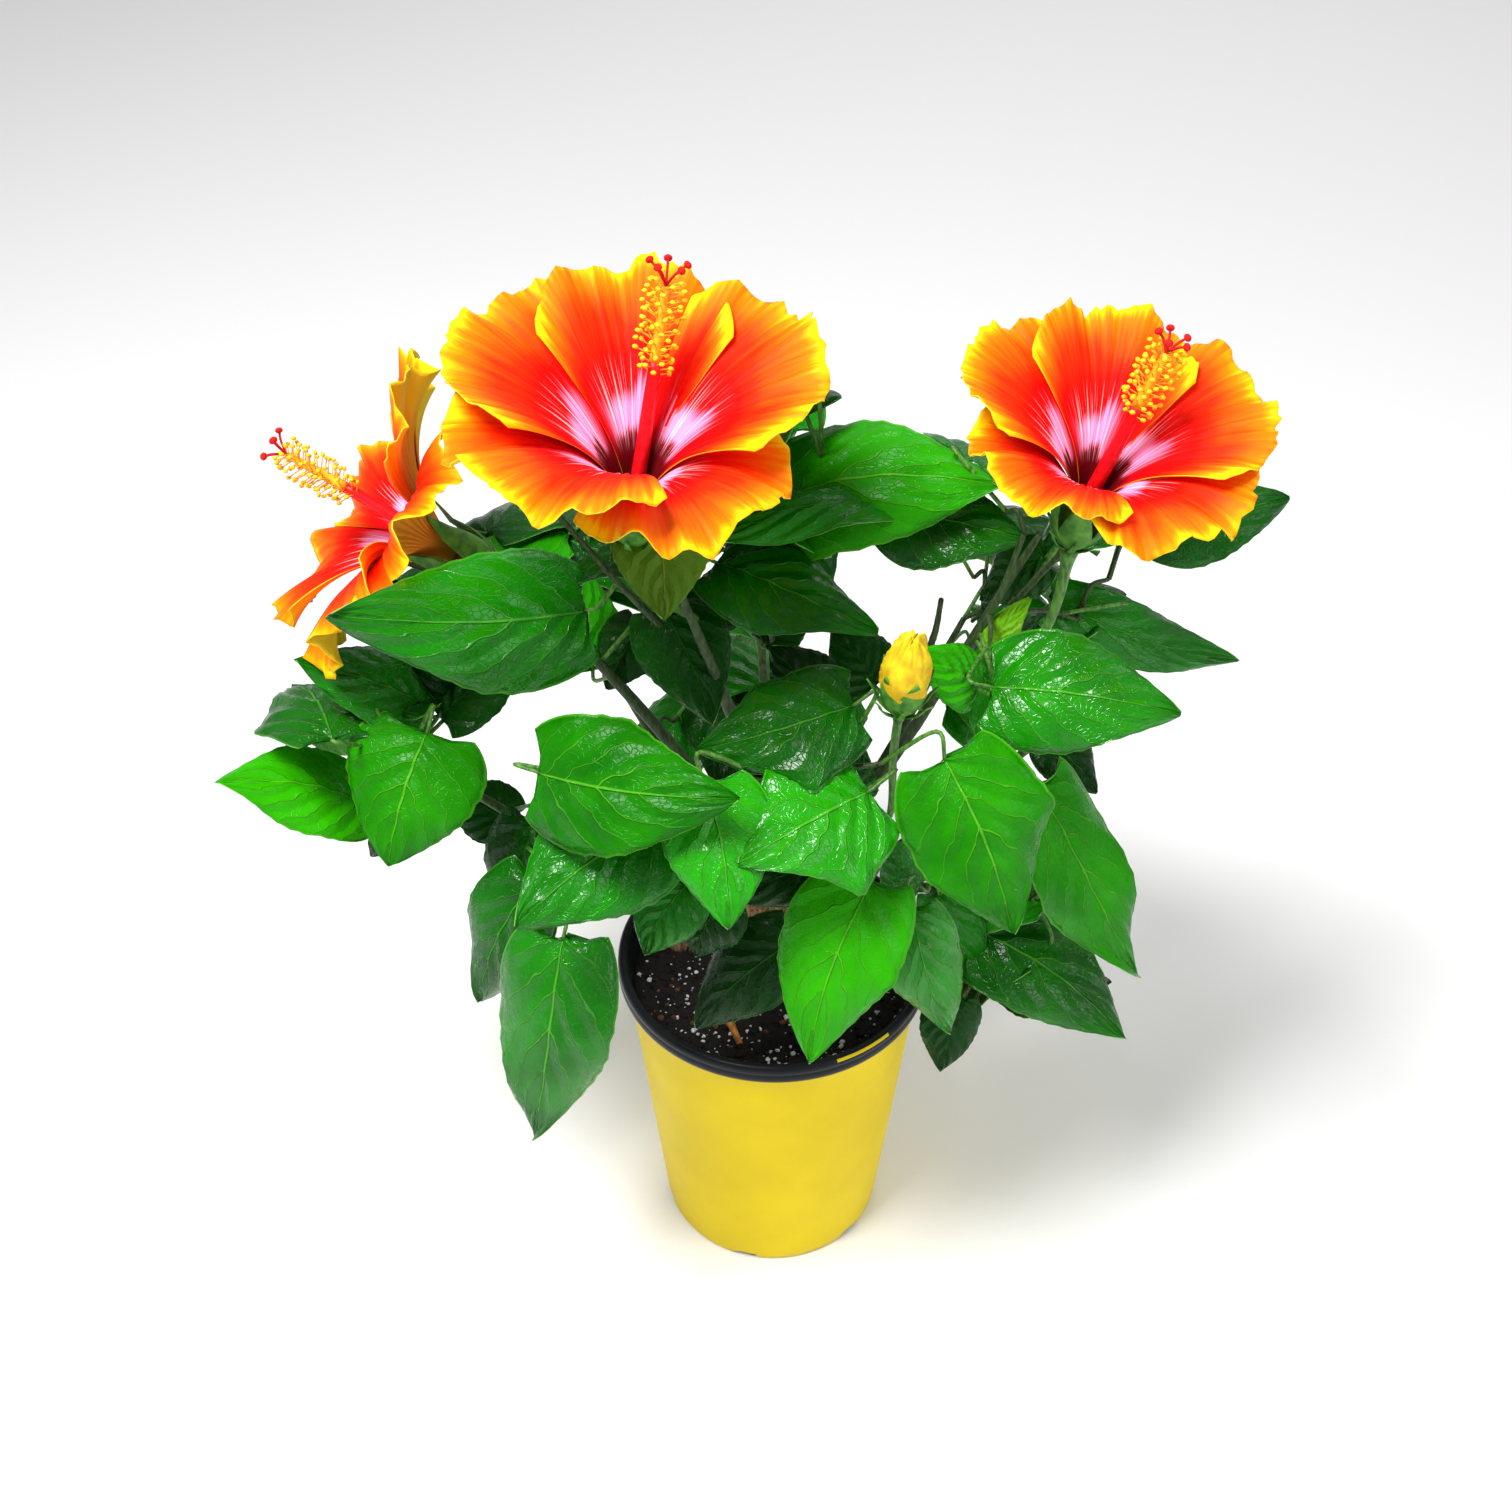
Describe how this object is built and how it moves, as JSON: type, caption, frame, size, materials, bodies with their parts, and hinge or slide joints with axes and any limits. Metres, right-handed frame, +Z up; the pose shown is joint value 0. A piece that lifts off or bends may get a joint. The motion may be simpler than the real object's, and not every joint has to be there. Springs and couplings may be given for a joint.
{
  "type": "potted tropical hibiscus shrub",
  "caption": "Leafy flowering tropical shrub with large ruffled orange and red blooms, growing in a tapered yellow nursery pot with a black rolled rim.",
  "frame": {"origin": "middle of the pot's flat underside, where it rests on the ground", "axes": "+Z up; -Y is the plant's front, the side the two open blooms lean towards; +X is to the right seen from the front"},
  "size_m": [0.4957, 0.3379, 0.5811],
  "materials": {
    "pot": "satin",
    "soil": "matte",
    "bark": "matte",
    "leaf": "satin",
    "petal": "matte",
    "stalk": "satin"
  },
  "bodies": {
    "root": {"pot": "pot", "soil": "soil", "stub": "bark", "trunk": "bark", "bough_left": "bark", "bough_left_high": "bark", "bough_front_bloom": "bark", "bough_middle": "bark", "bough_right_high": "bark", "bough_right": "bark", "bough_right_low": "bark", "bough_back": "bark", "bough_back_right": "bark", "bough_back_left": "bark", "bough_front": "bark", "foliage_left_high": "leaf", "foliage_left_tip": "leaf", "foliage_front_left": "leaf", "foliage_skirt_left": "leaf", "foliage_front": "leaf", "foliage_skirt_front": "leaf", "foliage_right_front": "leaf", "foliage_right_low": "leaf", "foliage_right": "leaf", "foliage_right_tip": "leaf", "foliage_top": "leaf", "foliage_top_right": "leaf", "foliage_heart": "leaf", "foliage_back_left": "leaf", "foliage_back_right": "leaf", "foliage_back": "leaf", "foliage_back_low": "leaf", "bloom_front": "petal", "bloom_right": "petal", "bloom_left": "petal", "bud": "petal", "stalk_front": "stalk", "stalk_right": "stalk", "stalk_bud": "stalk"}
  },
  "joints": []
}
